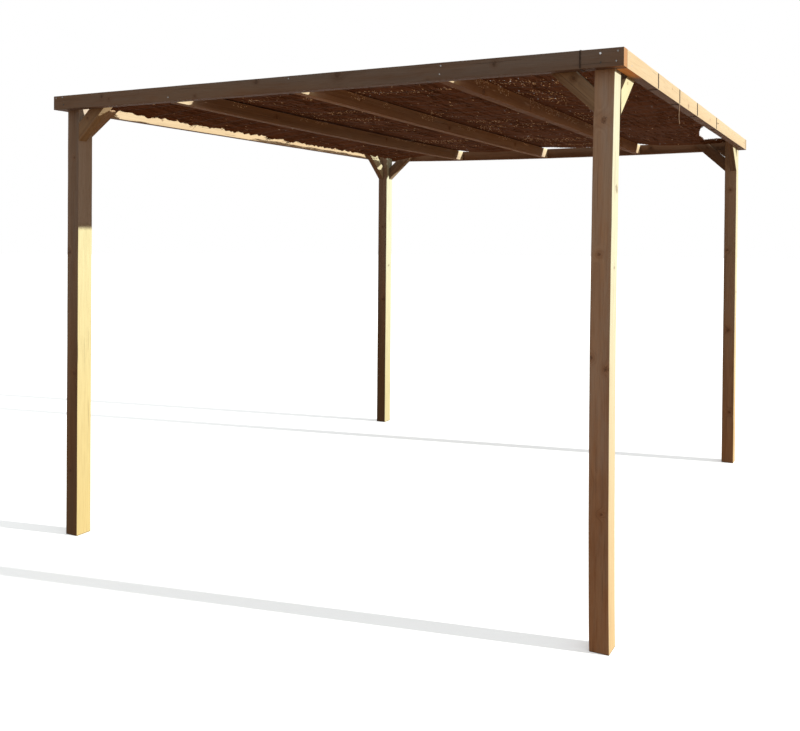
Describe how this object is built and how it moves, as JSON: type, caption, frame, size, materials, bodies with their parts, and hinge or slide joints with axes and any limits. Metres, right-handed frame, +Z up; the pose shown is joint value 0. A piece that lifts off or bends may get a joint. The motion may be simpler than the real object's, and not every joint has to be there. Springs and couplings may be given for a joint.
{
  "type": "wooden pergola",
  "caption": "Free-standing square timber pergola: posts, a ring of beams, rafters, corner braces and a sagging heather mat roof held by ties.",
  "frame": {"origin": "on the ground, in the middle of the plan", "axes": "+X to the right along the front beam, +Y from the front beam to the back beam, +Z up"},
  "size_m": [3.002, 3.002, 2.2546],
  "materials": {
    "post_wood": "sawn, weathered pine with knots",
    "beam_wood": "weathered pine",
    "rafter_wood": "weathered pine",
    "brace_wood": "weathered pine",
    "heather": "dry heather twigs bound with wire",
    "twine": "dark twine",
    "screw_zinc": "zinc-plated screw heads"
  },
  "bodies": {
    "root": {"front_left_post": "post_wood", "front_right_post": "post_wood", "back_left_post": "post_wood", "back_right_post": "post_wood", "front_beam": "beam_wood", "back_beam": "beam_wood", "left_beam": "beam_wood", "right_beam": "beam_wood", "left_rafter": "rafter_wood", "middle_rafter": "rafter_wood", "right_rafter": "rafter_wood", "front_left_cross_brace": "brace_wood", "front_right_cross_brace": "brace_wood", "back_left_cross_brace": "brace_wood", "back_right_cross_brace": "brace_wood", "front_left_side_brace": "brace_wood", "front_right_side_brace": "brace_wood", "back_left_side_brace": "brace_wood", "back_right_side_brace": "brace_wood", "front_mat": "heather", "middle_mat": "heather", "back_mat": "heather", "front_tie": "twine", "right_tie_1": "twine", "right_tie_2": "twine", "right_tie_3": "twine", "right_tie_4": "twine", "right_tie_2_tail": "twine"}
  },
  "joints": []
}
